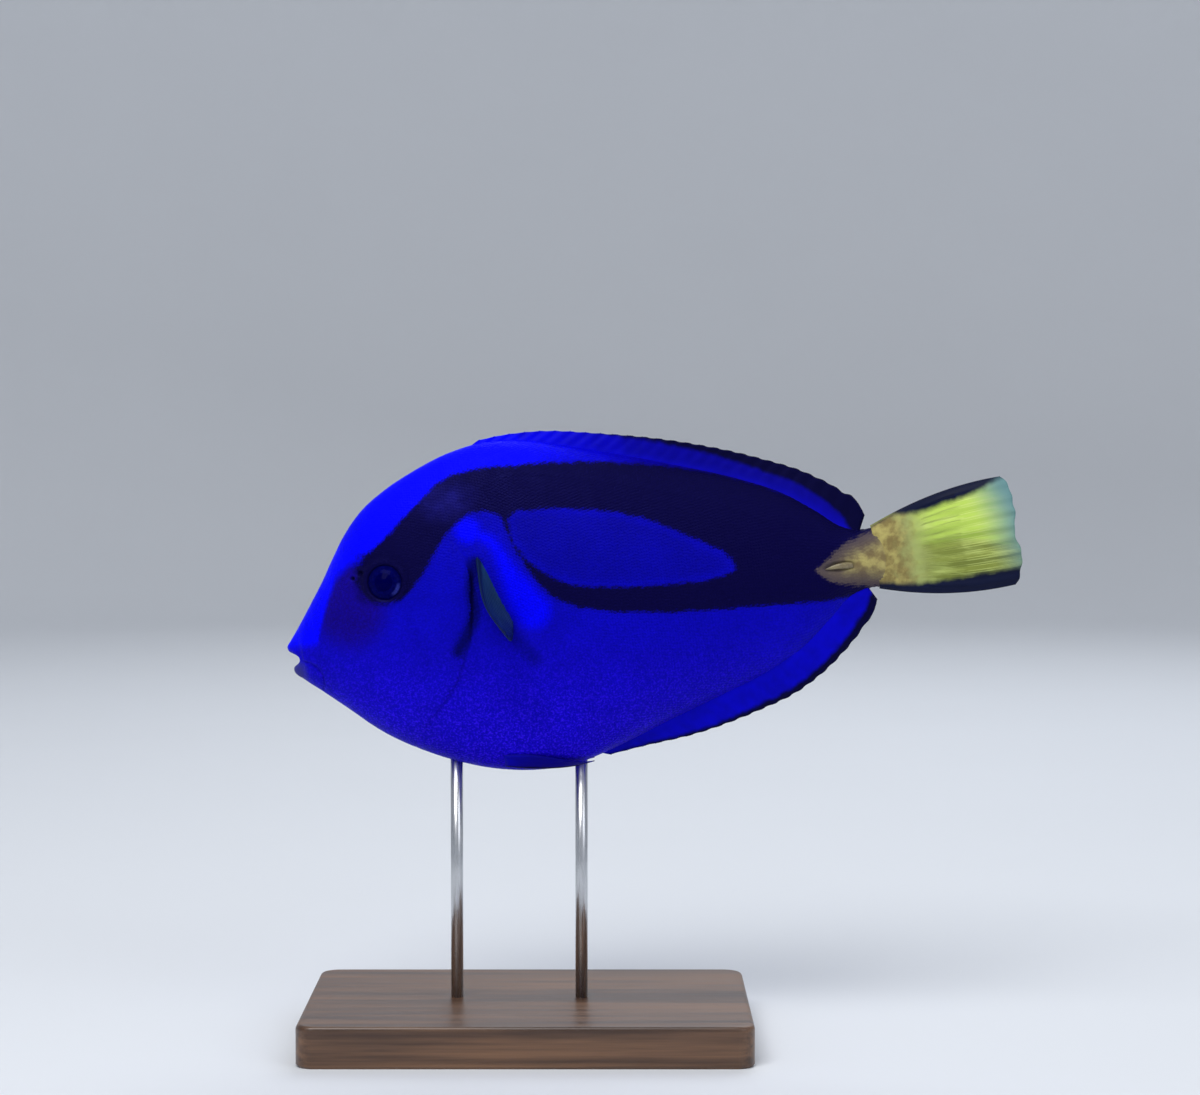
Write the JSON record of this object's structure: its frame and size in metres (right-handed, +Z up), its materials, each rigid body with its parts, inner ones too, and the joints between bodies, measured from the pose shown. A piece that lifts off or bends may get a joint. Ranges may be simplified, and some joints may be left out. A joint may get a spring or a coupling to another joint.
{
  "type": "regal blue tang",
  "caption": "Still life-size model of a regal blue tang, a deep flat reef fish with a yellow tail, held over a flat wooden base by short rods.",
  "frame": {"origin": "middle of the whole model's outline on the underside of the base", "axes": "-X towards the fish's snout, +X towards its tail, -Y towards its left side, +Z up"},
  "size_m": [0.1793, 0.068, 0.1489],
  "materials": {
    "skin": "satin painted fish skin, royal blue with a near-black palette-shaped band",
    "yellow_skin": "satin painted skin, yellow with black rims",
    "fin_skin": "satin painted fin, deep blue with a black rim",
    "pectoral_skin": "satin painted fin, greenish yellow",
    "eye": "polished glass eye, near black",
    "bone": "smooth pale yellow spine",
    "walnut": "oiled dark walnut",
    "steel": "brushed steel rod"
  },
  "bodies": {
    "root": {"head": "skin", "lower_jaw": "skin", "trunk": "skin", "tail_stalk": "yellow_skin", "dorsal_fin": "fin_skin", "anal_fin": "fin_skin", "caudal_fin": "yellow_skin", "pectoral_fin_left": "pectoral_skin", "pectoral_fin_right": "pectoral_skin", "pelvic_fin_left": "fin_skin", "pelvic_fin_right": "fin_skin", "eye_left": "eye", "eye_right": "eye", "tail_spine_left": "bone", "tail_spine_right": "bone", "stand_base": "walnut", "stand_rod_front": "steel", "stand_rod_rear": "steel"}
  },
  "joints": []
}
